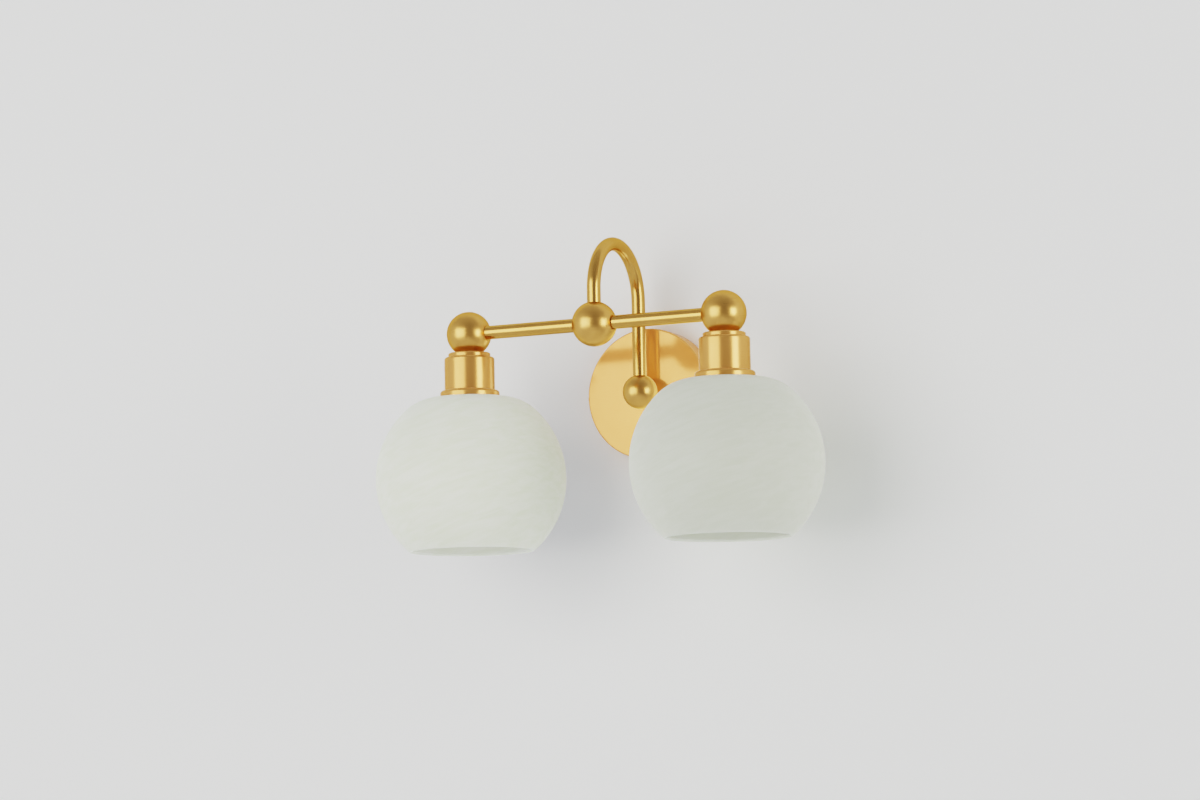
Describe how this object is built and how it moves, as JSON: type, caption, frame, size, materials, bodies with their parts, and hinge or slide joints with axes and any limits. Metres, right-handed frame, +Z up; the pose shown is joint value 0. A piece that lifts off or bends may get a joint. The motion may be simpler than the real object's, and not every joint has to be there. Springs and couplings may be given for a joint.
{
  "type": "vanity light",
  "caption": "Brass wall light: a gooseneck rises from a round canopy to a cross bar with a ball, a cup and an open-bottomed alabaster-look glass globe at each end.",
  "frame": {"origin": "middle of the canopy's rear face, on the wall", "axes": "+Z up, +Y into the wall, +X to the right of a viewer who faces the wall"},
  "size_m": [0.44, 0.22, 0.2912],
  "materials": {
    "satin_brass": "brushed and lacquered",
    "alabaster_glass": "opal glass with faint alabaster wisps",
    "zinc_steel": "zinc plated",
    "black_phenolic": "moulded",
    "white_porcelain": "glazed",
    "shell_aluminium": "drawn",
    "contact_brass": "stamped",
    "clear_rubber": "smooth",
    "green_enamel": "enamelled",
    "black_wire": "smooth",
    "white_wire": "smooth"
  },
  "bodies": {
    "fixture": {"canopy": "satin_brass", "mounting_bracket": "zinc_steel", "canopy_side_screws": "satin_brass", "ground_screw": "green_enamel", "rear_nipple": "zinc_steel", "rear_lock_washer": "zinc_steel", "rear_nut": "zinc_steel", "rear_ball": "satin_brass", "gooseneck_tube": "satin_brass", "centre_ball": "satin_brass", "left_bar_tube": "satin_brass", "left_end_ball": "satin_brass", "left_neck_nipple": "zinc_steel", "left_neck_collar": "satin_brass", "left_cup": "satin_brass", "left_cup_nut": "zinc_steel", "left_cup_flange": "satin_brass", "left_lampholder_cap": "black_phenolic", "left_lampholder_insert": "white_porcelain", "left_lampholder_skirt": "black_phenolic", "left_screw_shell": "shell_aluminium", "left_centre_contact": "contact_brass", "left_live_wire": "black_wire", "left_neutral_wire": "white_wire", "right_bar_tube": "satin_brass", "right_end_ball": "satin_brass", "right_neck_nipple": "zinc_steel", "right_neck_collar": "satin_brass", "right_cup": "satin_brass", "right_cup_nut": "zinc_steel", "right_cup_flange": "satin_brass", "right_lampholder_cap": "black_phenolic", "right_lampholder_insert": "white_porcelain", "right_lampholder_skirt": "black_phenolic", "right_screw_shell": "shell_aluminium", "right_centre_contact": "contact_brass", "right_live_wire": "black_wire", "right_neutral_wire": "white_wire"},
    "left_shade_unit": {"left_shade": "alabaster_glass", "left_shade_washer": "clear_rubber"},
    "left_ring_unit": {"left_shade_ring": "black_phenolic"},
    "right_shade_unit": {"right_shade": "alabaster_glass", "right_shade_washer": "clear_rubber"},
    "right_ring_unit": {"right_shade_ring": "black_phenolic"}
  },
  "joints": [
    {"name": "left_shade_drop", "type": "slide", "parent": "fixture", "child": "left_shade_unit", "axis": [0, 0, -1], "range_m": [0, 0.012]},
    {"name": "left_ring_turn", "type": "hinge", "parent": "left_shade_unit", "child": "left_ring_unit", "pos_m": [-0.131, -0.131, -0.0156], "axis": [0, 0, -1], "range_deg": [0, 2160]},
    {"name": "right_shade_drop", "type": "slide", "parent": "fixture", "child": "right_shade_unit", "axis": [0, 0, -1], "range_m": [0, 0.012]},
    {"name": "right_ring_turn", "type": "hinge", "parent": "right_shade_unit", "child": "right_ring_unit", "pos_m": [0.131, -0.131, -0.0156], "axis": [0, 0, -1], "range_deg": [0, 2160]}
  ],
  "couplings": [
    {"joint": "left_ring_turn", "follows": "left_shade_drop", "rad_per_m": 3141.6},
    {"joint": "right_ring_turn", "follows": "right_shade_drop", "rad_per_m": 3141.6}
  ]
}
